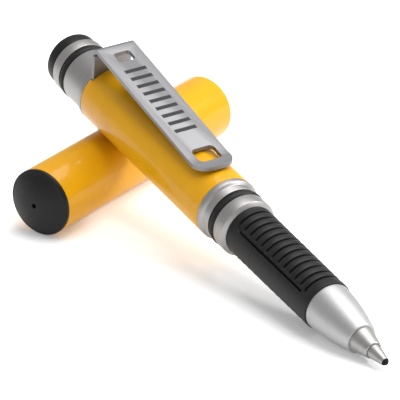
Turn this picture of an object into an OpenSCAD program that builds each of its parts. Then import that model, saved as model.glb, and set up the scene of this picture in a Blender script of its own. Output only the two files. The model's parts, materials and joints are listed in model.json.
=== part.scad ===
// Capped detector pen, opened: the pen lies across its removed cap, clip upwards.
// The pen's own axis runs along +X in pen_place(), with 0 at the barrel's front face and
// positive towards the nib. The cap's axis runs along +X in cap_place(), from its closed end.

/* [Barrel] */
// Outside diameter of the barrel
barrel_d = 12.5; // [11.5:0.1:15.5]
// Length of the barrel
barrel_len = 42.7; // [35:0.1:52]
// Wall of the barrel
barrel_wall = 1.6; // [1.2:0.05:1.8]
// Length of thread shared by the barrel and what screws into each end
thread_len = 6.5; // [5:0.5:9]

/* [Collars] */
// Step from the barrel's surface down to the collar's lands
land_step = 0.5; // [0.4:0.05:0.7]
// Width of the flange next to the barrel
flange_w = 1.4; // [1:0.1:2]
// Width of the rear land of the front collar
front_land_a = 1.7; // [1:0.1:2.4]
// Width of the front land of the front collar
front_land_b = 2.5; // [1.8:0.1:3.5]
// Width of the long land of the tail collar
tail_land_long = 6; // [4:0.1:8]
// Width of the short land of the tail collar
tail_land_short = 2.6; // [1.8:0.1:4]
// Section diameter of both O-rings
o_ring_wire = 1.7; // [1.4:0.1:1.9]
// How far an O-ring stands out of the lands
o_ring_proud = 0.12; // [0.05:0.01:0.2]

/* [Tail plug] */
// Width of the tail plug's black rim
tail_rim = 2.3; // [1:0.1:3]
// Height of the tail plug's dome
tail_dome = 2.7; // [1:0.1:3.2]

/* [Clip] */
// Width of the clip
clip_w = 8.2; // [6:0.1:10]
// Thickness of the clip's sheet
clip_t = 0.8; // [0.6:0.05:1]
// Gap between the barrel and the clip at its root
clip_gap = 4.6; // [3:0.1:6]
// Distance from the barrel's front face back to where the clip touches the barrel
clip_touch = 6.3; // [5:0.1:9]
// Inside radius of the clip's bend
clip_bend_r = 0.7; // [0.5:0.1:1.2]
// Inside radius of the clip's turned-up tip
clip_tip_r = 14; // [10:0.5:18]
// Angle through which the clip's tip turns up
clip_tip_turn = 14; // [10:1:18]

/* [Grip] */
// Length of the rubber grip
grip_len = 26; // [22:0.1:32]
// Radius of the grip at its rear end
grip_rear_r = 5.05; // [4.95:0.05:5.25]
// Radius of the grip at its front end
grip_front_r = 4.85; // [4.7:0.05:5]
// Number of ribbed panels around the grip
panel_count = 2; // [1:1:2]
// Half of the angle that each panel covers
panel_half = 56; // [48:1:64]
// Number of cross grooves in each panel
groove_count = 11; // [8:1:12]
// Spacing of the cross grooves
groove_pitch = 1.83; // [1.5:0.01:1.9]
// Width of every groove in the grip
groove_w = 0.5; // [0.3:0.05:0.6]
// Depth of every groove in the grip
groove_depth = 0.4; // [0.2:0.05:0.5]

/* [Nose and nib] */
// Length of the nose cone
nose_len = 10.6; // [9:0.1:14]
// Radius of the nose cone where the nose tip meets it
nose_front_r = 2.9; // [2.7:0.05:3.2]
// Length of the nose tip
tip_len = 3.8; // [3.5:0.1:6]
// Radius of the nose tip's front edge
tip_front_r = 1.7; // [1.5:0.05:1.9]
// Length of the nib holder outside the nose tip
holder_len = 3.5; // [1.6:0.1:4.2]
// Length of the nib outside its holder
nib_len = 0.6; // [0.6:0.1:1.2]
// Radius of the nib
nib_r = 0.65; // [0.35:0.05:0.75]

/* [Refill] */
// Radius of the ink tube
ink_tube_r = 2.75; // [2.4:0.05:2.9]
// Wall of the ink tube
ink_tube_wall = 0.4; // [0.3:0.05:0.5]
// Distance from the barrel's front face back to the rear of the ink tube
ink_tube_back = 22; // [15:0.5:24]
// Wire diameter of the spring behind the ink tube
spring_wire = 0.5; // [0.4:0.05:0.6]
// Turns of the spring
spring_turns = 7; // [5:1:9]

/* [Cap] */
// Wall of the cap
cap_wall = 0.75; // [0.6:0.05:1.2]
// Room in front of the nib when the cap is on
nib_room = 0.9; // [0.4:0.1:3]
// Thickness of the end plug's rim outside the tube
plug_rim = 0.9; // [0.6:0.1:1.5]
// Height of the end plug's dome above its rim
plug_dome = 1.6; // [0.8:0.1:2]
// Diameter of the vent in the end plug
vent_d = 0.9; // [0.6:0.1:1.5]
// Diameter of the inner cap that seals the nib
inner_cap_d = 8.4; // [7.6:0.1:9]

/* [Resting place] */
// Distance from the barrel's rear face forwards to where the barrel lies on the cap
rest_in = 4; // [3:0.1:20]
// Distance from the cap's closed end to where the barrel lies on it
rest_along = 21.6; // [18:0.1:32]
// Angle in plan from the pen's direction to the cap's direction
rest_turn = 113; // [75:0.5:115]

/* [Fits] */
// Radial clearance of a pushed or screwed fit
fit_gap = 0.04; // [0.02:0.01:0.08]
// Radial clearance between the cap and the lands it slides over
cap_gap = 0.06; // [0.04:0.01:0.1]
// Gap left where two pieces only rest against each other
rest_gap = 0.05; // [0.03:0.01:0.1]

/* [Hidden] */
$fn = 96;

yellow = "#f0b018";
silver = "#b4b2b3";
black = "#2a292b";

// Radii shared by the barrel and its collars
barrel_r = barrel_d / 2;
bore_r = barrel_r - barrel_wall;
spigot_r = bore_r - fit_gap;
land_r = barrel_r - land_step;
groove_r = land_r + o_ring_proud - o_ring_wire;
groove_len = o_ring_wire + 0.2;
land_chamfer = 0.6;
passage_r = ink_tube_r + 0.25;

// Stations of the front collar, counted forwards from the barrel's front face
land_a_end = flange_w + front_land_a;
land_b_start = land_a_end + groove_len;
land_b_end = land_b_start + front_land_b;
grip_start = land_b_end + land_chamfer;
grip_end = grip_start + grip_len;
nose_end = grip_end + nose_len;
tip_end = nose_end + tip_len;
holder_end = tip_end + holder_len;
nib_end = holder_end + nib_len;

// Stations of the tail collar, counted backwards from the barrel's rear face
tail_long_end = flange_w + tail_land_long;
tail_short_start = tail_long_end + groove_len;
tail_short_end = tail_short_start + tail_land_short;
tail_back = barrel_len + tail_short_end;
plug_r = land_r - 0.25;
tail_rim_back = tail_back + tail_rim;
tail_dome_r = (plug_r * plug_r + tail_dome * tail_dome) / (2 * tail_dome);
tail_dome_centre = tail_rim_back + tail_dome - tail_dome_r;

// Inside the collars
collar_hole_r = 3.2;
plug_stem_r = collar_hole_r - fit_gap;
plug_stem_len = 5;
nose_step = 0.2;
core_r = grip_front_r - nose_step - 1.1;
core_seat = 4;
nose_spigot_len = 5;
nose_wall = 0.9;
nose_bore_r = core_r + fit_gap;
tip_spigot_r = nose_front_r - 0.75;
tip_spigot_len = 2.5;
holder_r = tip_front_r - 0.35;
holder_front_r = nib_r + 0.12;
tip_bore_r = holder_r + fit_gap;

// Clip: bend and tip are arcs joined by a straight arm that is tangent to both
clip_root = barrel_len;
clip_top = barrel_r + clip_gap + clip_t;
bend_outer = clip_bend_r + clip_t;
bend_x = -clip_root + bend_outer;
bend_z = clip_top - bend_outer;
tip_outer = clip_tip_r + clip_t;
tip_x = -clip_touch;
tip_z = barrel_r + rest_gap * 2 + tip_outer;
arm_reach = norm([tip_x - bend_x, tip_z - bend_z]);
arm_rise = atan2(tip_z - bend_z, tip_x - bend_x);
arm_slope = asin((clip_bend_r + tip_outer) / arm_reach) - arm_rise;
arm_end_x = tip_x + tip_outer * sin(clip_tip_turn);
eye_r = barrel_r - 0.65;
flex_gap = 0.25;
clip_corner = clip_w / 2 - 0.7;
root_window = [2.8, clip_w - 4.6];
root_window_at = 4.8;
tip_window = [4, clip_w - 3.4];
tip_window_at = 1.3;

// Cap, long enough to cover everything in front of the front collar's flange
cap_bore_r = land_r + cap_gap;
cap_r = cap_bore_r + cap_wall;
// The closed end of the tube is bored a little smaller, as a seat for the plug and inner cap
cap_seat_r = cap_bore_r - 0.2;
inner_cap_r = inner_cap_d / 2;
inner_cap_floor = 0.8;
inner_cap_ribs = 3;
inner_cap_rib_w = 1.6;
cap_len = nib_end - flange_w + nib_room + inner_cap_floor + rest_gap;
plug_spigot_r = cap_seat_r - fit_gap;
plug_spigot_len = 2;
plug_hollow_r = inner_cap_r + 0.3;
plug_back = plug_rim + plug_dome;
plug_dome_base_r = cap_r - 0.4;
plug_dome_r = (plug_dome_base_r * plug_dome_base_r + plug_dome * plug_dome) / (2 * plug_dome);
plug_dome_centre = plug_dome_r - plug_back;
// The inner cap's mouth closes on the nose tip when the cap is on
inner_cap_mouth = cap_len + flange_w - nose_end - 0.6;
seal_r = nose_front_r + 0.1;
cap_seat_end = inner_cap_mouth + 0.3;

// Nose profile: an arc that starts nearly level with the grip
nose_rear_r = grip_front_r - nose_step;
nose_steps = 14;
nose_power = 1.75;
function nose_r(t) = nose_rear_r - (nose_rear_r - nose_front_r) * pow(t, nose_power);
nose_points = [for (i = [0:nose_steps]) [nose_r(i / nose_steps), grip_end + nose_len * i / nose_steps]];
tip_bevel = 0.35;
tip_points = [[nose_front_r - tip_bevel, nose_end], [tip_front_r, tip_end]];
floor_points = concat(nose_points, tip_points, [[holder_front_r, holder_end], [nib_r, nib_end - nib_r]],
    [[barrel_r, flange_w], [land_r, land_b_end], [grip_rear_r, grip_start], [grip_front_r, grip_end]]);

// How the pen leans: its barrel lies on the cap and its lowest front edge is on the floor
rest_back = barrel_len - rest_in;
cap_dir = [cos(rest_turn), sin(rest_turn), 0];
function pen_dir(a) = [cos(a), 0, -sin(a)];
function contact_up(a) = cross(pen_dir(a), cap_dir) / norm(cross(pen_dir(a), cap_dir));
axis_gap = barrel_r + cap_r + rest_gap;
function rest_height(a) = cap_r + axis_gap * contact_up(a)[2];
function front_height(a) =
    min([for (p = floor_points) rest_height(a) - (rest_back + p[1]) * sin(a) - p[0] * cos(a)]);
function find_lean(low, high, step) = step == 0 ? (low + high) / 2 :
    let (middle = (low + high) / 2)
    front_height(middle) > 0 ? find_lean(middle, high, step - 1) : find_lean(low, middle, step - 1);
lean = find_lean(0, 30, 40);
pen_z = rest_height(lean) - rest_back * sin(lean);

// Plan position: the whole object is centred on the origin
rest_point = [-rest_back * cos(lean), 0, rest_height(lean)];
cap_rest = rest_point - axis_gap * contact_up(lean);
cap_start = cap_rest - rest_along * cap_dir;
cap_mouth = cap_start + cap_len * cap_dir;
tail_low_x = -tail_dome_centre * cos(lean) - tail_dome_r;
nib_high_x = (nib_end - nib_r) * cos(lean) + nib_r;
rim_half_x = cap_r * sin(rest_turn);
rim_half_y = cap_r * abs(cos(rest_turn));
rim_back = cap_start - plug_rim * cap_dir;
dome_low_y = cap_start[1] + plug_dome_centre * cap_dir[1] - plug_dome_r;
x_low = min(tail_low_x, cap_mouth[0] - rim_half_x, rim_back[0] - rim_half_x);
x_high = max(nib_high_x, rim_back[0] + rim_half_x);
y_low = min(dome_low_y, rim_back[1] - rim_half_y);
y_high = cap_mouth[1] + rim_half_y;
centre = [(x_low + x_high) / 2, (y_low + y_high) / 2, 0];

module pen_place() {
    translate([0, 0, pen_z] - centre)
        rotate([0, lean, 0])
            children();
}

module cap_place() {
    translate(cap_start - centre)
        rotate([0, 0, rest_turn])
            children();
}

// A turned shape from [radius, station] points, with its axis along +X
module turned(points) {
    rotate([0, 90, 0])
        rotate_extrude()
            polygon(points);
}

// A ring of round section whose centre line has radius r, at a station along +X
module o_ring(r, at) {
    translate([at, 0, 0])
        rotate([0, 90, 0])
            rotate_extrude()
                translate([r, 0])
                    circle(d = o_ring_wire, $fn = 48);
}

// Profile of a dome that bulges towards -X, from its base radius in to a smaller one
function dome_points(centre, r, base_r, end_r, steps = 10) =
    let (from = asin(base_r / r), to = asin(end_r / r))
    [for (i = [0:steps])
        let (a = from + (to - from) * i / steps)
        [r * sin(a), centre - r * cos(a)]];

module barrel() {
    color(yellow)
        pen_place()
            difference() {
                turned([[bore_r, -barrel_len], [barrel_r - 0.15, -barrel_len],
                    [barrel_r, -barrel_len + 0.15], [barrel_r, -0.15], [barrel_r - 0.15, 0], [bore_r, 0]]);
                clip_recess();
            }
}

// Room at the barrel's rear end for the clip's eye and leg
module clip_recess() {
    translate([-barrel_len - 1, 0, 0])
        rotate([0, 90, 0])
            cylinder(r = eye_r + fit_gap, h = clip_t + rest_gap + 1);
    translate([-barrel_len - 1, -clip_w / 2 - 0.1, 0])
        cube([clip_t + rest_gap + 1, clip_w + 0.2, barrel_r + 1]);
}

module tail_collar() {
    back = -barrel_len;
    color(silver)
        pen_place()
            turned([[collar_hole_r, back + thread_len], [spigot_r - 0.3, back + thread_len],
                [spigot_r, back + thread_len - 0.3], [spigot_r, back], [barrel_r - 0.1, back],
                [barrel_r, back - 0.1], [barrel_r, back - flange_w + 0.4], [land_r, back - flange_w - 0.2],
                [land_r, back - tail_long_end], [groove_r, back - tail_long_end],
                [groove_r, back - tail_short_start], [land_r, back - tail_short_start],
                [land_r, -tail_back + 0.35], [land_r - 0.35, -tail_back], [collar_hole_r, -tail_back]]);
}

module tail_o_ring() {
    color(black)
        pen_place()
            o_ring(groove_r + o_ring_wire / 2, -barrel_len - (tail_long_end + tail_short_start) / 2);
}

module tail_plug() {
    edge = plug_stem_r;
    color(black)
        pen_place()
            turned(concat([[0, -tail_back + plug_stem_len], [edge - 0.4, -tail_back + plug_stem_len],
                [edge, -tail_back + plug_stem_len - 0.4], [edge, -tail_back], [plug_r, -tail_back]],
                dome_points(-tail_dome_centre, tail_dome_r, plug_r, 0)));
}

// Sheet pieces are drawn side-on as [station, height] and given their width across the pen
module across(width) {
    rotate([90, 0, 0])
        linear_extrude(height = width, center = true)
            children();
}

function arc_points(centre, r, from, to, steps) =
    [for (i = [0:steps]) let (a = from + (to - from) * i / steps) centre + r * [cos(a), sin(a)]];

module clip_foot() {
    color(silver)
        pen_place()
            difference() {
                union() {
                    translate([-clip_root, 0, 0])
                        rotate([0, 90, 0])
                            cylinder(r = eye_r, h = clip_t);
                    translate([-clip_root, -clip_w / 2, 0])
                        cube([clip_t, clip_w, bend_z - flex_gap]);
                }
                translate([-clip_root - 1, 0, 0])
                    rotate([0, 90, 0])
                        cylinder(r = spigot_r + fit_gap, h = clip_t + 2);
            }
}

module clip_arm() {
    bend = [bend_x, bend_z];
    tip = [tip_x, tip_z];
    turn_start = 270 - arm_slope;
    turn_end = 270 + clip_tip_turn;
    color(silver)
        pen_place()
            difference() {
                across(clip_w)
                    polygon(concat(
                        arc_points(bend, bend_outer, 180, 90 - arm_slope, 12),
                        arc_points(tip, clip_tip_r, turn_start, turn_end, 10),
                        arc_points(tip, tip_outer, turn_end, turn_start, 10),
                        arc_points(bend, clip_bend_r, 90 - arm_slope, 180, 12)));
                clip_tip_trim();
                clip_window(-clip_root + root_window_at, root_window, 0.6);
                clip_window(tip_x - tip_window_at, tip_window, 1);
            }
}

// Takes the two corners off the clip's tip
module clip_tip_trim() {
    for (side = [-1, 1])
        translate([arm_end_x - clip_corner, side * (clip_w / 2 - clip_corner), 0])
            difference() {
                translate([0, side > 0 ? 0 : -clip_corner - 1, 0])
                    cube([clip_corner + 1, clip_corner + 1, clip_top + 5]);
                translate([0, 0, -1])
                    cylinder(r = clip_corner, h = clip_top + 7);
            }
}

// An opening with round corners through the clip's arm
module clip_window(at, size, corner) {
    translate([at, 0, barrel_r - 1])
        linear_extrude(height = clip_top)
            union() {
                square([size[0] - 2 * corner, size[1]], center = true);
                square([size[0], size[1] - 2 * corner], center = true);
                for (x = [-1, 1], y = [-1, 1])
                    translate([x * (size[0] / 2 - corner), y * (size[1] / 2 - corner)])
                        circle(r = corner);
            }
}

// The spring is a wire of eight sides swept round a helix
module refill_spring() {
    sides = 8;
    steps = 14;
    rings = spring_turns * steps;
    front = -ink_tube_back - rest_gap - spring_wire / 2;
    back = -barrel_len + thread_len + rest_gap + spring_wire / 2;
    r = ink_tube_r - spring_wire / 2;
    points = [for (i = [0:rings], j = [0:sides - 1])
        let (turn = 360 * i / steps, side = 360 * j / sides,
            out = r + spring_wire / 2 * cos(side))
        [back + (front - back) * i / rings + spring_wire / 2 * sin(side), out * cos(turn), out * sin(turn)]];
    walls = [for (i = [0:rings - 1], j = [0:sides - 1])
        let (next = (j + 1) % sides)
        [i * sides + j, i * sides + next, (i + 1) * sides + next, (i + 1) * sides + j]];
    start = [[for (j = [sides - 1:-1:0]) j]];
    finish = [[for (j = [0:sides - 1]) rings * sides + j]];
    color(silver)
        pen_place()
            polyhedron(points = points, faces = concat(walls, start, finish), convexity = 8);
}

module ink_tube() {
    inner = ink_tube_r - ink_tube_wall;
    color("white")
        pen_place()
            turned([[inner, -ink_tube_back], [ink_tube_r, -ink_tube_back],
                [ink_tube_r, grip_end + core_seat], [inner, grip_end + core_seat]]);
}

module ink_tube_plug() {
    r = ink_tube_r - ink_tube_wall - fit_gap;
    color(black)
        pen_place()
            turned([[0, -ink_tube_back], [r, -ink_tube_back], [r, -ink_tube_back + 3], [0, -ink_tube_back + 3]]);
}

module ink_wick() {
    r = ink_tube_r - ink_tube_wall - 0.1;
    color("#8a5a20")
        pen_place()
            turned([[0, -ink_tube_back + 3.2], [r, -ink_tube_back + 3.2],
                [r, grip_end - 0.5], [0, grip_end - 0.5]]);
}

module nib_holder() {
    stem = ink_tube_r - ink_tube_wall - fit_gap;
    snout = tip_end + 0.5;
    color(silver)
        pen_place()
            turned([[nib_r + fit_gap, grip_end], [stem, grip_end], [stem, grip_end + core_seat],
                [ink_tube_r - 0.1, grip_end + core_seat], [ink_tube_r - 0.1, grip_end + core_seat + 1],
                [holder_r, grip_end + core_seat + 2.5], [holder_r, snout],
                [holder_front_r, holder_end], [nib_r + fit_gap, holder_end]]);
}

module nib() {
    color("#3a352f")
        pen_place() {
            turned([[0, grip_end - 0.4], [nib_r, grip_end - 0.4],
                [nib_r, nib_end - nib_r], [0, nib_end - nib_r]]);
            translate([nib_end - nib_r, 0, 0])
                sphere(r = nib_r);
        }
}

module front_collar() {
    color(silver)
        pen_place()
            turned([[passage_r, -thread_len], [spigot_r - 0.3, -thread_len], [spigot_r, -thread_len + 0.3],
                [spigot_r, 0], [barrel_r - 0.1, 0], [barrel_r, 0.1], [barrel_r, flange_w - 0.4],
                [barrel_r - 0.25, flange_w - 0.1], [land_r, flange_w + 0.1],
                [land_r, land_a_end], [groove_r, land_a_end], [groove_r, land_b_start],
                [land_r, land_b_start], [land_r, land_b_end], [grip_rear_r - 0.05, grip_start],
                [core_r + fit_gap, grip_start], [core_r + fit_gap, grip_start - core_seat],
                [passage_r, grip_start - core_seat]]);
}

module front_o_ring() {
    color(black)
        pen_place()
            o_ring(groove_r + o_ring_wire / 2, (land_a_end + land_b_start) / 2);
}

module grip_core() {
    color(black)
        pen_place()
            turned([[passage_r, grip_start - core_seat], [core_r, grip_start - core_seat],
                [core_r, grip_end + nose_spigot_len], [passage_r, grip_end + nose_spigot_len]]);
}

function grip_r(at) = grip_rear_r + (grip_front_r - grip_rear_r) * (at - grip_start) / grip_len;

// A groove that runs round the grip, from one side of a panel to the other
module cross_groove(at, half) {
    translate([0, 0, at - groove_w / 2])
        rotate([0, 0, -half])
            rotate_extrude(angle = 2 * half)
                translate([grip_r(at) - groove_depth, 0])
                    square([groove_depth + 0.5, groove_w]);
}

// A groove along the grip at the side of a panel
module side_groove(from, to) {
    rotate([90, 0, 0])
        linear_extrude(height = groove_w, center = true)
            polygon([[grip_r(from) - groove_depth, from], [grip_rear_r + 0.5, from],
                [grip_rear_r + 0.5, to], [grip_r(to) - groove_depth, to]]);
}

module grip_panel() {
    rows = (groove_count - 1) * groove_pitch;
    first = grip_start + (grip_len - rows) / 2 - 0.2;
    margin = groove_pitch * 0.95;
    groove_half = panel_half - 10;
    for (i = [0:groove_count - 1])
        cross_groove(first + i * groove_pitch, groove_half);
    cross_groove(first - margin, panel_half);
    cross_groove(first + rows + margin, groove_half);
    for (side = [-1, 1])
        rotate([0, 0, side * panel_half])
            side_groove(first - margin, first + rows + margin / 2);
}

module grip_sleeve() {
    color(black)
        pen_place()
            rotate([0, 90, 0])
                difference() {
                    rotate_extrude()
                        polygon([[core_r + fit_gap, grip_start], [grip_rear_r, grip_start],
                            [grip_front_r, grip_end - nose_step], [grip_front_r - nose_step, grip_end],
                            [core_r + fit_gap, grip_end]]);
                    for (i = [0:panel_count - 1])
                        rotate([0, 0, 180 + 360 / panel_count * i])
                            grip_panel();
                }
}

module nose_cone() {
    inner_front = nose_front_r - nose_wall + 0.15;
    seat = grip_end + nose_spigot_len;
    color(silver)
        pen_place()
            turned(concat([[nose_bore_r, grip_end]], nose_points,
                [[inner_front, nose_end], [inner_front, nose_end - tip_spigot_len - 0.5],
                [nose_bore_r, seat + 0.5]]));
}

module nose_tip() {
    inner_front = nose_front_r - nose_wall + 0.15 - fit_gap;
    color(silver)
        pen_place()
            turned([[tip_bore_r, nose_end - tip_spigot_len], [inner_front, nose_end - tip_spigot_len],
                [inner_front, nose_end], [nose_front_r - tip_bevel, nose_end],
                [tip_front_r, tip_end - 0.15], [tip_front_r - 0.15, tip_end], [tip_bore_r, tip_end]]);
}

module cap_tube() {
    color(yellow)
        cap_place()
            turned([[cap_bore_r, cap_seat_end], [cap_seat_r, cap_seat_end], [cap_seat_r, 0], [cap_r, 0],
                [cap_r, cap_len - 0.15], [cap_r - 0.15, cap_len],
                [cap_bore_r + 0.1, cap_len], [cap_bore_r, cap_len - 0.1]]);
}

module cap_end_plug() {
    vent_r = vent_d / 2;
    color(black)
        cap_place()
            turned(concat([[vent_r, 0], [plug_hollow_r, 0], [plug_hollow_r, plug_spigot_len],
                [plug_spigot_r, plug_spigot_len], [plug_spigot_r, 0], [cap_r, 0],
                [cap_r, -plug_rim + 0.3], [cap_r - 0.3, -plug_rim]],
                dome_points(plug_dome_centre, plug_dome_r, plug_dome_base_r, vent_r)));
}

// A cup that closes on the nose tip; its ribs hold it in the tube and leave ways for air
module inner_cap() {
    depth = rest_gap + inner_cap_floor;
    rib_start = plug_spigot_len + rest_gap;
    rib_end = inner_cap_mouth - 1;
    color("white")
        cap_place() {
            turned([[0, rest_gap], [inner_cap_r, rest_gap], [inner_cap_r, inner_cap_mouth],
                [seal_r, inner_cap_mouth], [seal_r - 0.2, inner_cap_mouth - 0.8],
                [seal_r - 0.2, depth], [0, depth]]);
            for (i = [0:inner_cap_ribs - 1])
                rotate([360 / inner_cap_ribs * i, 0, 0])
                    intersection() {
                        translate([rib_start, 0, 0])
                            rotate([0, 90, 0])
                                cylinder(r = cap_seat_r - fit_gap, h = rib_end - rib_start);
                        translate([rib_start, -inner_cap_rib_w / 2, inner_cap_r - 0.3])
                            cube([rib_end - rib_start, inner_cap_rib_w, cap_bore_r]);
                    }
        }
}

barrel();
tail_collar();
tail_o_ring();
tail_plug();
clip_foot();
clip_arm();
refill_spring();
ink_tube();
ink_tube_plug();
ink_wick();
nib_holder();
nib();
front_collar();
front_o_ring();
grip_core();
grip_sleeve();
nose_cone();
nose_tip();
cap_tube();
cap_end_plug();
inner_cap();
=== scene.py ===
import json
import math

import bmesh
import bpy
from mathutils import Matrix, Vector


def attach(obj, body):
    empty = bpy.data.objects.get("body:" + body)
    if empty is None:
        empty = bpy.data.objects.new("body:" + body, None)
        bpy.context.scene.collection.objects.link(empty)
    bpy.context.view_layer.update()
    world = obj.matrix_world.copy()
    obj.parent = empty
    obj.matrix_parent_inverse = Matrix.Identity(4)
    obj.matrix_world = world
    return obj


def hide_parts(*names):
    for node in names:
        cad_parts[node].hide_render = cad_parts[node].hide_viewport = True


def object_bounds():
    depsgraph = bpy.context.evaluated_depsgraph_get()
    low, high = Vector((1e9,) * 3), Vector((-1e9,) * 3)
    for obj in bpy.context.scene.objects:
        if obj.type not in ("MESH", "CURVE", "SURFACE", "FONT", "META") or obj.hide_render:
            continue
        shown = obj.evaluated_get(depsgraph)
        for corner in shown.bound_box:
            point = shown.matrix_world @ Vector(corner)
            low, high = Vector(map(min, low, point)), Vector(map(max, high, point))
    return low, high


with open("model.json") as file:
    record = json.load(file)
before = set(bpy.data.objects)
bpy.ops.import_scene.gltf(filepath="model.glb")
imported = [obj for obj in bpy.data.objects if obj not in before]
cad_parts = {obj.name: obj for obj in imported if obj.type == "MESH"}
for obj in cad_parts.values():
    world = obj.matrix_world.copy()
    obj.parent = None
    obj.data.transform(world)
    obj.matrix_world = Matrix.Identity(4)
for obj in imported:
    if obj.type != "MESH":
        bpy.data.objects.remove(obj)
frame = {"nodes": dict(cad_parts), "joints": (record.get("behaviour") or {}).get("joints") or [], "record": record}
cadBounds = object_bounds()
bpy.ops.object.select_all(action="DESELECT")
print("frame loaded")

mm = 0.001
joints = {joint["name"]: joint for joint in frame["joints"]}
mounts = {mount["name"]: mount for mount in frame["record"]["mounts"]}
bodyNodes = frame["record"]["behaviour"]["bodies"]
bodies = {node: body for body, nodes in bodyNodes.items() for node in nodes}


def placeAlong(origin, axis, across):
    # a frame whose X runs along axis, with Y near across
    along = Vector(axis).normalized()
    up = along.cross(Vector(across)).normalized()
    side = up.cross(along)
    turn = Matrix((along, side, up)).transposed().to_4x4()
    return Matrix.Translation(Vector(origin)) @ turn


# the pen's own frame: 0 at the barrel's front face, X towards the nib, Z towards the clip
penPlace = placeAlong(joints["section_turn"]["pos_m"], joints["section_turn"]["axis"], (0, 1, 0))
# the cap's own frame: 0 halfway along its open bore, X towards the mouth
capPlace = placeAlong(mounts["cap_mouth"]["pos_m"], mounts["cap_mouth"]["axis"], (1, 0, 0))


class Wire:
    # wraps a socket, so that shader maths reads as ordinary expressions
    def __init__(self, tree, socket=None):
        self.tree = tree
        self.socket = socket

    def node(self, kind, settings=None, sockets=None, output=0):
        made = self.tree.nodes.new(kind)
        for name, value in (settings or {}).items():
            setattr(made, name, value)
        for name, value in (sockets or {}).items():
            if isinstance(value, Wire):
                self.tree.links.new(value.socket, made.inputs[name])
            else:
                made.inputs[name].default_value = value
        return Wire(self.tree, made.outputs[output])

    def maths(self, operation, *values):
        return self.node("ShaderNodeMath", {"operation": operation}, dict(enumerate(values)))

    def __add__(self, other):
        return self.maths("ADD", self, other)

    def __radd__(self, other):
        return self.maths("ADD", other, self)

    def __sub__(self, other):
        return self.maths("SUBTRACT", self, other)

    def __rsub__(self, other):
        return self.maths("SUBTRACT", other, self)

    def __mul__(self, other):
        return self.maths("MULTIPLY", self, other)

    def __rmul__(self, other):
        return self.maths("MULTIPLY", other, self)

    def __abs__(self):
        return self.maths("ABSOLUTE", self)

    def above(self, limit, soft=0.05):
        # 0 below the limit, 1 above it, with a soft step
        return self.node("ShaderNodeMapRange", {"interpolation_type": "SMOOTHSTEP"},
                         {"Value": self, "From Min": limit - soft, "From Max": limit + soft})

    def below(self, limit, soft=0.05):
        return 1.0 - self.above(limit, soft)

    def mix(self, first, second):
        # colours mixed by this value
        return self.node("ShaderNodeMix", {"data_type": "RGBA"}, {0: self, 6: first, 7: second}, 2)

    def scaled(self, factors):
        # its three parts, each multiplied by a factor of its own
        return self.node("ShaderNodeVectorMath", {"operation": "MULTIPLY"}, {0: self, 1: factors})

    def parts(self):
        split = self.node("ShaderNodeSeparateXYZ", None, {0: self})
        outputs = split.socket.node.outputs
        return [Wire(self.tree, outputs[name]) for name in "XYZ"]

    def noise(self, scale, detail=3.0, roughness=0.55, stretch=(1, 1, 1)):
        vector = self if stretch == (1, 1, 1) else self.scaled(stretch)
        return self.node("ShaderNodeTexNoise", None, {
            "Vector": vector, "Scale": scale, "Detail": detail, "Roughness": roughness})

    def bump(self, height, strength, distance):
        return self.node("ShaderNodeBump", None, {
            "Strength": strength, "Distance": distance * mm, "Height": height})


def colour(red, green, blue):
    return (red, green, blue, 1.0)


def makeMaterial(name, place, constants, build):
    # build(space) gets the piece's own coordinates in millimetres and returns what varies
    material = bpy.data.materials.new(name)
    material.use_nodes = True
    tree = material.node_tree
    shader = tree.nodes["Principled BSDF"]
    for socket, value in constants.items():
        shader.inputs[socket].default_value = value
    start = Wire(tree)
    local = start.node("ShaderNodeTexCoord", output="Object")
    space = start.node("ShaderNodeMapping", {"vector_type": "TEXTURE"}, {
        "Vector": local, "Location": place.to_translation(),
        "Rotation": place.to_euler(), "Scale": (mm, mm, mm)})
    for socket, wire in build(space).items():
        tree.links.new(wire.socket, shader.inputs[socket])
    material.diffuse_color = shader.inputs["Base Color"].default_value
    return material


# the value about which noise is evenly spread
middle = 0.5

lacquer = {
    "deep": colour(0.62, 0.300, 0.004), "bright": colour(0.68, 0.335, 0.005), "toneSize": 0.16, "blend": 0.3,
    "roughness": 0.34, "grainSize": 9.0, "grainRough": 0.05, "peelSize": 1.1, "peel": 0.06, "reach": 0.05,
    "scratchSize": 2.2, "scratchStretch": (0.12, 3, 3), "scratchLimit": 0.66, "scratchEdge": 0.03,
    "scratchRough": 0.08, "scratchDepth": 0.1,
}


def lacquerFinish(space):
    tone = space.noise(lacquer["toneSize"], 4)
    scratches = space.noise(lacquer["scratchSize"], 5, 0.7, lacquer["scratchStretch"])
    scratches = scratches.above(lacquer["scratchLimit"], lacquer["scratchEdge"])
    peel = space.noise(lacquer["peelSize"], 2)
    grain = space.noise(lacquer["grainSize"], 3)
    height = peel + scratches * -lacquer["scratchDepth"]
    return {
        "Base Color": tone.above(middle, lacquer["blend"]).mix(lacquer["deep"], lacquer["bright"]),
        "Roughness": lacquer["roughness"] + grain * lacquer["grainRough"] + scratches * lacquer["scratchRough"],
        "Normal": space.bump(height, lacquer["peel"], lacquer["reach"]),
    }


def lacquerMaterial(name, place):
    return makeMaterial(name, place, {
        "Coat Weight": 0.3, "Coat Roughness": 0.08, "Specular IOR Level": 0.1}, lacquerFinish)


turnedMetal = {
    "dark": colour(0.33, 0.32, 0.315), "light": colour(0.37, 0.36, 0.355), "blend": 0.3,
    "roughness": 0.40, "lines": 16.0, "lineStretch": (1, 0.02, 0.02), "lineRough": 0.12,
    "scuffSize": 3.0, "scuffLimit": 0.68, "scuffEdge": 0.04, "scuffRough": 0.12, "depth": 0.12, "reach": 0.02,
}


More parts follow.
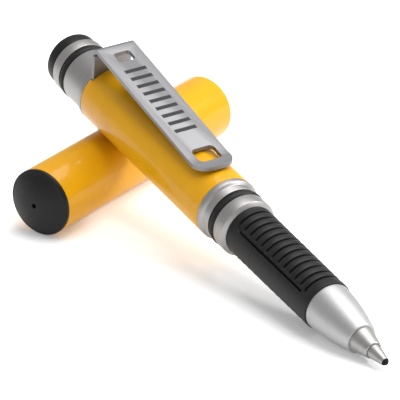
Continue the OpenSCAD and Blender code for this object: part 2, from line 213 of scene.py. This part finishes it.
def turnedFinish(space):
    # the lathe's fine lines run round the piece
    lines = space.noise(turnedMetal["lines"], 3, 0.6, turnedMetal["lineStretch"])
    scuffs = space.noise(turnedMetal["scuffSize"], 5, 0.75)
    scuffs = scuffs.above(turnedMetal["scuffLimit"], turnedMetal["scuffEdge"])
    worn = lines * turnedMetal["lineRough"]
    tone = lines.above(middle, turnedMetal["blend"])
    return {
        "Base Color": tone.mix(turnedMetal["dark"], turnedMetal["light"]),
        "Roughness": turnedMetal["roughness"] + worn + scuffs * turnedMetal["scuffRough"],
        "Normal": space.bump(lines, turnedMetal["depth"], turnedMetal["reach"]),
    }


blastedMetal = {
    "dark": colour(0.40, 0.395, 0.40), "light": colour(0.47, 0.465, 0.47), "blend": 0.25,
    "roughness": 0.46, "grainSize": 9.0, "grainRough": 0.12, "depth": 0.25, "reach": 0.03,
}


def blastedFinish(space):
    grain = space.noise(blastedMetal["grainSize"], 4, 0.6)
    tone = grain.above(middle, blastedMetal["blend"])
    return {
        "Base Color": tone.mix(blastedMetal["dark"], blastedMetal["light"]),
        "Roughness": blastedMetal["roughness"] + grain * blastedMetal["grainRough"],
        "Normal": space.bump(grain, blastedMetal["depth"], blastedMetal["reach"]),
    }


rubber = {
    "dark": colour(0.007, 0.007, 0.0072), "worn": colour(0.013, 0.0128, 0.013), "blend": 0.2,
    "roughness": 0.42, "grainSize": 7.0, "grainShare": 0.3, "dustSize": 0.6, "dustShare": 0.7,
    "wornLimit": 0.52, "dustRough": 0.16, "depth": 0.2, "reach": 0.03,
}


def rubberFinish(space):
    grain = space.noise(rubber["grainSize"], 4, 0.65)
    dust = space.noise(rubber["dustSize"], 4)
    wear = dust * rubber["dustShare"] + grain * rubber["grainShare"]
    return {
        "Base Color": wear.above(rubber["wornLimit"], rubber["blend"]).mix(rubber["dark"], rubber["worn"]),
        "Roughness": rubber["roughness"] + dust * rubber["dustRough"],
        "Normal": space.bump(grain, rubber["depth"], rubber["reach"]),
    }


plastic = {
    "dark": colour(0.007, 0.0068, 0.0074), "light": colour(0.012, 0.0117, 0.0124), "blend": 0.3,
    "roughness": 0.36, "grainSize": 5.0, "grainRough": 0.08, "wearSize": 1.4, "wearLimit": 0.62,
    "wearEdge": 0.06, "wearRough": 0.14, "depth": 0.12, "reach": 0.03,
}


def plasticFinish(space):
    grain = space.noise(plastic["grainSize"], 3, 0.6)
    wear = space.noise(plastic["wearSize"], 5, 0.7).above(plastic["wearLimit"], plastic["wearEdge"])
    return {
        "Base Color": grain.above(middle, plastic["blend"]).mix(plastic["dark"], plastic["light"]),
        "Roughness": plastic["roughness"] + grain * plastic["grainRough"] + wear * plastic["wearRough"],
        "Normal": space.bump(grain, plastic["depth"], plastic["reach"]),
    }


milky = {
    "pale": colour(0.66, 0.66, 0.64), "deep": colour(0.56, 0.56, 0.53), "toneSize": 0.4, "blend": 0.3,
    "roughness": 0.36, "grainSize": 4.0, "grainRough": 0.1, "depth": 0.1, "reach": 0.03,
}


def milkyFinish(space):
    # milky polypropylene
    grain = space.noise(milky["grainSize"], 3, 0.6)
    tone = space.noise(milky["toneSize"], 3)
    return {
        "Base Color": tone.above(middle, milky["blend"]).mix(milky["pale"], milky["deep"]),
        "Roughness": milky["roughness"] + grain * milky["grainRough"],
        "Normal": space.bump(grain, milky["depth"], milky["reach"]),
    }


fibre = {
    "dry": colour(0.42, 0.25, 0.09), "wet": colour(0.17, 0.085, 0.025), "blend": 0.16, "stainSize": 0.5,
    "strandShare": 0.5, "stainShare": 0.5, "roughness": 0.82, "strands": 14.0,
    "strandStretch": (0.06, 1, 1), "strandRough": 0.1, "depth": 0.5, "reach": 0.05,
}


def fibreFinish(space):
    # ink-soaked fibre, with its strands along the pen
    strands = space.noise(fibre["strands"], 4, 0.6, fibre["strandStretch"])
    stain = space.noise(fibre["stainSize"], 3)
    soaked = strands * fibre["strandShare"] + stain * fibre["stainShare"]
    return {
        "Base Color": soaked.above(middle, fibre["blend"]).mix(fibre["dry"], fibre["wet"]),
        "Roughness": fibre["roughness"] + strands * fibre["strandRough"],
        "Normal": space.bump(strands, fibre["depth"], fibre["reach"]),
    }


felt = {
    "dark": colour(0.006, 0.006, 0.006), "light": colour(0.022, 0.020, 0.018), "blend": 0.2,
    "roughness": 0.7, "grainSize": 14.0, "grainRough": 0.15, "depth": 0.5, "reach": 0.04,
}


def feltFinish(space):
    grain = space.noise(felt["grainSize"], 4, 0.7)
    return {
        "Base Color": grain.above(middle, felt["blend"]).mix(felt["dark"], felt["light"]),
        "Roughness": felt["roughness"] + grain * felt["grainRough"],
        "Normal": space.bump(grain, felt["depth"], felt["reach"]),
    }


# the clip's own frame: 0 at its bend, X towards its tip, Z up
clipPlace = placeAlong(joints["clip_flex"]["pos_m"], joints["section_turn"]["axis"], (0, 1, 0))

clipTint = (0.55, 0.55, 0.56)

# plain dark bars etched across the clip, from first to last along it
etched = {
    "ink": colour(0.014, 0.014, 0.015), "first": 7.6, "last": 26.6, "lead": 0.5, "pitch": 2.3,
    "bar": 0.95, "half": 2.3, "edge": 0.04, "rough": 0.2,
}


def clipFinish(space):
    plain = blastedFinish(space)
    plain["Base Color"] = plain["Base Color"].scaled(clipTint)
    return plain


def etchedFinish(space):
    plain = clipFinish(space)
    along, across = space.parts()[:2]
    inPitch = abs(along.maths("PINGPONG", along - etched["first"], etched["pitch"] / 2))
    bars = inPitch.below(etched["bar"] / 2, etched["edge"])
    started = along.above(etched["first"] - etched["lead"], etched["edge"])
    unended = along.below(etched["last"], etched["edge"])
    mark = bars * (started * unended * abs(across).below(etched["half"], etched["edge"]))
    plain["Base Color"] = mark.mix(plain["Base Color"], etched["ink"])
    plain["Metallic"] = 1.0 - mark
    plain["Roughness"] = plain["Roughness"] + mark * etched["rough"]
    return plain


finishes = {
    "penLacquer": lacquerMaterial("penLacquer", penPlace),
    "capLacquer": lacquerMaterial("capLacquer", capPlace),
    "turnedAluminium": makeMaterial("turnedAluminium", penPlace, {"Metallic": 1.0}, turnedFinish),
    "blastedSteel": makeMaterial("blastedSteel", penPlace, {"Metallic": 1.0}, blastedFinish),
    "penRubber": makeMaterial("penRubber", penPlace, {"Specular IOR Level": 0.22}, rubberFinish),
    "penPlastic": makeMaterial("penPlastic", penPlace, {"Specular IOR Level": 0.18}, plasticFinish),
    "capPlastic": makeMaterial("capPlastic", capPlace, {"Specular IOR Level": 0.18}, plasticFinish),
    "springSteel": makeMaterial("springSteel", penPlace, {"Metallic": 1.0}, turnedFinish),
    "inkTube": makeMaterial("inkTube", penPlace, {"Specular IOR Level": 0.4}, milkyFinish),
    "innerCap": makeMaterial("innerCap", capPlace, {"Specular IOR Level": 0.4}, milkyFinish),
    "inkFibre": makeMaterial("inkFibre", penPlace, {"Specular IOR Level": 0.1}, fibreFinish),
    "nibFelt": makeMaterial("nibFelt", penPlace, {"Specular IOR Level": 0.1}, feltFinish),
    "clipSteel": makeMaterial("clipSteel", clipPlace, {"Metallic": 1.0}, clipFinish),
    "etchedSteel": makeMaterial("etchedSteel", clipPlace, {}, etchedFinish),
}

nodeFinishes = {
    "barrel": "penLacquer", "cap_tube": "capLacquer", "tail_collar": "turnedAluminium",
    "front_collar": "turnedAluminium", "nose_cone": "blastedSteel", "nose_tip": "turnedAluminium",
    "clip_foot": "clipSteel", "clip_arm": "etchedSteel", "nib_holder": "turnedAluminium",
    "grip_sleeve": "penRubber", "tail_o_ring": "penRubber", "front_o_ring": "penRubber",
    "tail_plug": "penPlastic", "cap_end_plug": "capPlastic", "grip_core": "penPlastic",
    "refill_spring": "springSteel", "ink_tube": "inkTube", "ink_tube_plug": "penPlastic",
    "ink_wick": "inkFibre", "nib": "nibFelt", "inner_cap": "innerCap",
}
for node, finish in nodeFinishes.items():
    for slot in frame["nodes"][node].material_slots:
        slot.material = finishes[finish]
print("materials made")


def choose(piece):
    bpy.ops.object.select_all(action="DESELECT")
    piece.select_set(True)
    bpy.context.view_layer.objects.active = piece


def enterEdit(piece):
    choose(piece)
    bpy.ops.object.mode_set(mode="EDIT")


def leaveEdit():
    bpy.ops.object.mode_set(mode="OBJECT")


def pickVertices(piece, test):
    # selects the vertices whose place passes the test, with their edges and faces
    leaveEdit()
    chosen = [test(vertex.co) for vertex in piece.data.vertices]
    piece.data.vertices.foreach_set("select", chosen)
    joined = [all(chosen[i] for i in edge.vertices) for edge in piece.data.edges]
    piece.data.edges.foreach_set("select", joined)
    piece.data.polygons.foreach_set("select", [False] * len(piece.data.polygons))
    enterEdit(piece)
    bpy.ops.mesh.select_mode(type="VERT")


def handOver(piece, node, finish, angle=35):
    # finishes a piece and lets it stand for its node
    choose(piece)
    bpy.ops.object.shade_smooth_by_angle(angle=math.radians(angle))
    piece.data.materials.clear()
    piece.data.materials.append(finishes[finish])
    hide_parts(node)
    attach(piece, bodies[node])


# the nodes whose sharp edges are rounded: the width of the rounding in millimetres
softEdges = {
    "barrel": 0.12, "cap_tube": 0.16, "tail_collar": 0.12, "front_collar": 0.12, "nose_cone": 0.1,
    "nose_tip": 0.1, "nib_holder": 0.05, "tail_plug": 0.3, "cap_end_plug": 0.25,
    "clip_arm": 0.12, "clip_foot": 0.1,
}

# merge in millimetres; flat and sharp are the angles, in degrees, of edges dropped and rounded
rounding = {"merge": 0.001, "flat": 0.4, "sharp": 28, "segments": 3}


def buildSoftened(node, width):
    choose(frame["nodes"][node])
    bpy.ops.object.duplicate()
    piece = bpy.context.object
    piece.name = node.replace("_", " ").title().replace(" ", "") + "Soft"
    enterEdit(piece)
    bpy.ops.mesh.select_all(action="SELECT")
    bpy.ops.mesh.remove_doubles(threshold=rounding["merge"] * mm)
    bpy.ops.mesh.dissolve_limited(angle_limit=math.radians(rounding["flat"]))
    leaveEdit()
    bevel = piece.modifiers.new("edges", "BEVEL")
    bevel.width = width * mm
    bevel.segments = rounding["segments"]
    bevel.limit_method = "ANGLE"
    bevel.angle_limit = math.radians(rounding["sharp"])
    bpy.ops.object.modifier_apply(modifier=bevel.name)
    handOver(piece, node, nodeFinishes[node])


for node, width in softEdges.items():
    buildSoftened(node, width)
print("edges rounded")


# the rubber grip; side and groove are half angles in degrees, the other sizes are millimetres
grip = {
    "segments": 176, "grooves": 11, "pitch": 1.83, "margin": 1.74, "shift": 0.2,
    "side": 56, "groove": 46, "corner": 1.3, "deep": 0.6, "line": (0.15, 0.26),
    "dip": 0.12, "swell": (0.15, 0.9), "frontReach": 0.4, "frontSwell": 0.7, "edge": 0.22, "levels": 60,
    "beside": (0.14, 0.2, 0.26, 0.33, 0.44, 0.62, 0.84), "rimSteps": (0.3, 0.7, 1),
    "rearSlice": 0.05, "frontSlice": 0.1, "wall": 0.7, "near": 0.01, "smooth": 60,
}


def fade(value, low, high):
    # 1 below low, 0 above high
    part = min(max((value - low) / (high - low), 0.0), 1.0)
    return 1.0 - part * part * (3.0 - 2.0 * part)


def grooveSpan(start, end):
    # where the first groove lies, and how far it is from there to the last
    rows = (grip["grooves"] - 1) * grip["pitch"]
    return start + (end - start - rows) / 2 - grip["shift"], rows


def gripDepth(x, angle, radius, start, end):
    # how far the sleeve's surface lies below its plain cone, from the grooves near a place
    first, rows = grooveSpan(start, end)
    panelAngle = min(angle, 180 - angle)
    across = math.radians(panelAngle) * radius
    side = math.radians(grip["side"]) * radius
    half = math.radians(grip["groove"]) * radius
    row = min(max(round((x - first) / grip["pitch"]), 0), grip["grooves"] - 1)
    beyond = max(across - half, 0.0)
    crossing = math.hypot(x - first - row * grip["pitch"], beyond)
    front = first + rows + grip["margin"]
    closing = math.hypot(x - front, max(across - half - grip["frontReach"], 0.0))
    rear, corner, sideEnd = first - grip["margin"], grip["corner"], first + rows + grip["margin"] / 2
    if x > sideEnd:
        outline = math.hypot(x - sideEnd, across - side)
    else:
        inX, inY = rear + corner - x, across - side + corner
        outline = abs(math.hypot(max(inX, 0.0), max(inY, 0.0)) + min(max(inX, inY), 0.0) - corner)
    nearest = min(crossing, closing, outline)
    swell = max(fade(crossing, *grip["swell"]), fade(closing, *grip["swell"]) * grip["frontSwell"])
    depth = max(grip["deep"] * fade(nearest, *grip["line"]), grip["dip"] * swell)
    rim = max(grip["edge"] - (x - start), grip["edge"] - (end - x), 0.0)
    return depth + grip["edge"] - math.sqrt(max(grip["edge"] ** 2 - rim ** 2, 0.0))


def buildGrip():
    turned = penPlace.inverted()
    places = [turned @ vertex.co / mm for vertex in frame["nodes"]["grip_sleeve"].data.vertices]
    start, end = min(p.x for p in places), max(p.x for p in places)
    reach = [(p.x, math.hypot(p.y, p.z)) for p in places]
    rearRadius = max(r for x, r in reach if x < start + grip["rearSlice"])
    inner = min(r for x, r in reach)
    outside = [(x, r) for x, r in reach if r > inner + grip["wall"]]
    frontX, frontRadius = max(place for place in outside if place[0] < end - grip["frontSlice"])
    slope = (frontRadius - rearRadius) / (frontX - start)
    endRadius = rearRadius + slope * (end - start)

    bpy.ops.mesh.primitive_circle_add(vertices=grip["segments"], radius=rearRadius * mm,
                                      location=(start * mm, 0, 0), rotation=(0, math.pi / 2, 0))
    piece = bpy.context.object
    piece.name = "GripSleeveRibbed"
    bpy.ops.object.transform_apply(location=True, rotation=True, scale=True)
    enterEdit(piece)
    bpy.ops.mesh.select_all(action="SELECT")
    first, rows = grooveSpan(start, end)
    lines = [first + row * grip["pitch"] for row in range(grip["grooves"])]
    lines += [first - grip["margin"], first + rows + grip["margin"]]
    offsets = [0, *grip["beside"], *(-offset for offset in grip["beside"])]
    stations = {round(line + offset, 3) for line in lines for offset in offsets}
    stations |= {start + grip["edge"] * part for part in grip["rimSteps"]}
    stations |= {end - grip["edge"] * part for part in (0, *grip["rimSteps"])}
    stations = sorted(station for station in stations if start < station <= end)
    at = start
    for station in stations:
        step = ((station - at) * mm, 0, 0)
        bpy.ops.mesh.extrude_region_move(TRANSFORM_OT_translate={"value": step})
        at = station

    # every vertex is pressed in by the depth of the grooves there, a level at a time
    deepest = grip["deep"] + grip["edge"] + rearRadius - endRadius
    bpy.ops.mesh.select_mode(type="VERT")
    cage = bmesh.from_edit_mesh(piece.data)
    levels = {}
    for vertex in cage.verts:
        x, y, z = vertex.co / mm
        angle = abs(math.degrees(math.atan2(y, z)))
        depth = gripDepth(x, angle, math.hypot(y, z), start, end) - slope * (x - start)
        levels.setdefault(round(depth / deepest * grip["levels"]), []).append(vertex)
    for level, vertices in sorted(levels.items()):
        bpy.ops.mesh.select_all(action="DESELECT")
        for vertex in vertices:
            vertex.select = True
        smaller = 1 - level / grip["levels"] * deepest / rearRadius
        bpy.ops.transform.resize(value=(1, smaller, smaller), center_override=(0, 0, 0))
    leaveEdit()

    # the two ends are closed towards the core, and the bore joins them
    for at in (start, end):
        pickVertices(piece, lambda place: abs(place.x / mm - at) < grip["near"])
        bpy.ops.mesh.extrude_region_move(TRANSFORM_OT_translate={"value": (0, 0, 0)})
        leaveEdit()
        picked = [vertex for vertex in piece.data.vertices if vertex.select]
        ring = math.hypot(picked[0].co.y, picked[0].co.z) / mm
        enterEdit(piece)
        bpy.ops.transform.resize(value=(1, inner / ring, inner / ring), center_override=(0, 0, 0))
    pickVertices(piece, lambda place: math.hypot(place.y, place.z) / mm < inner + grip["near"])
    bpy.ops.mesh.bridge_edge_loops()
    bpy.ops.mesh.select_all(action="SELECT")
    bpy.ops.mesh.remove_doubles(threshold=rounding["merge"] * mm)
    bpy.ops.mesh.normals_make_consistent(inside=False)
    leaveEdit()
    piece.matrix_world = penPlace
    choose(piece)
    bpy.ops.object.transform_apply(location=True, rotation=True, scale=True)
    handOver(piece, "grip_sleeve", nodeFinishes["grip_sleeve"], grip["smooth"])


buildGrip()
print("grip made")


# the floor is size metres wide and lies below millimetres under the object
stage = {
    "size": 4.0, "below": 0.05, "colour": colour(0.93, 0.93, 0.93), "roughness": 0.9, "gloss": 0.1,
    "glow": 0.2, "sky": 0.55,
}


def buildStage():
    height = cadBounds[0][2] - stage["below"] * mm
    bpy.ops.mesh.primitive_plane_add(size=stage["size"], location=(0, 0, height))
    floor = bpy.context.object
    floor.name = "floor"
    paint = bpy.data.materials.new("floorPaint")
    paint.use_nodes = True
    shader = paint.node_tree.nodes["Principled BSDF"]
    shader.inputs["Base Color"].default_value = stage["colour"]
    shader.inputs["Roughness"].default_value = stage["roughness"]
    shader.inputs["Specular IOR Level"].default_value = stage["gloss"]
    # a white table lit a little from below
    shader.inputs["Emission Color"].default_value = stage["colour"]
    shader.inputs["Emission Strength"].default_value = stage["glow"]
    floor.data.materials.append(paint)
    world = bpy.data.worlds.new("studio")
    world.use_nodes = True
    sky = world.node_tree.nodes["Background"]
    sky.inputs["Color"].default_value = colour(1, 1, 1)
    sky.inputs["Strength"].default_value = stage["sky"]
    bpy.context.scene.world = world


# each light: where it stands in metres, its size and its power in watts
lights = {
    "topLight": {"place": (0.05, 0.25, 0.85), "size": (0.9, 0.7), "power": 9},
    "rimLight": {"place": (0.3, 0.7, 0.5), "size": (0.5, 0.08), "power": 5},
}


def buildLights():
    for name, light in lights.items():
        data = bpy.data.lights.new(name, "AREA")
        data.shape = "RECTANGLE"
        data.size, data.size_y = light["size"]
        data.energy = light["power"]
        lamp = bpy.data.objects.new(name, data)
        bpy.context.collection.objects.link(lamp)
        lamp.location = light["place"]
        lamp.rotation_euler = (-Vector(light["place"])).to_track_quat("-Z", "Y").to_euler()


bpy.context.scene.view_settings.view_transform = "Standard"

# the camera stands and aims in the pen's own frame, with its target in millimetres
camera = {
    "target": (-3.12, -3.66, 0.81), "azimuth": -34.114, "elevation": 34.024, "roll": 4.734,
    "distance": 0.5846, "lens": 288, "sensor": 36, "near": 0.01,
}


def buildCamera():
    data = bpy.data.cameras.new("camera")
    data.lens = camera["lens"]
    data.sensor_width = camera["sensor"]
    data.clip_start = camera["near"]
    eye = bpy.data.objects.new("camera", data)
    bpy.context.collection.objects.link(eye)
    azimuth, elevation = math.radians(camera["azimuth"]), math.radians(camera["elevation"])
    outwards = Vector((math.cos(azimuth) * math.cos(elevation),
                       math.sin(azimuth) * math.cos(elevation), math.sin(elevation)))
    roll = Matrix.Rotation(math.radians(camera["roll"]), 3, "Z")
    turn = outwards.to_track_quat("Z", "Y").to_matrix() @ roll
    stand = Vector(camera["target"]) * mm + outwards * camera["distance"]
    eye.matrix_world = penPlace @ Matrix.Translation(stand) @ turn.to_4x4()
    bpy.context.scene.camera = eye


buildStage()
buildLights()
buildCamera()
print("stage, lights and camera made")
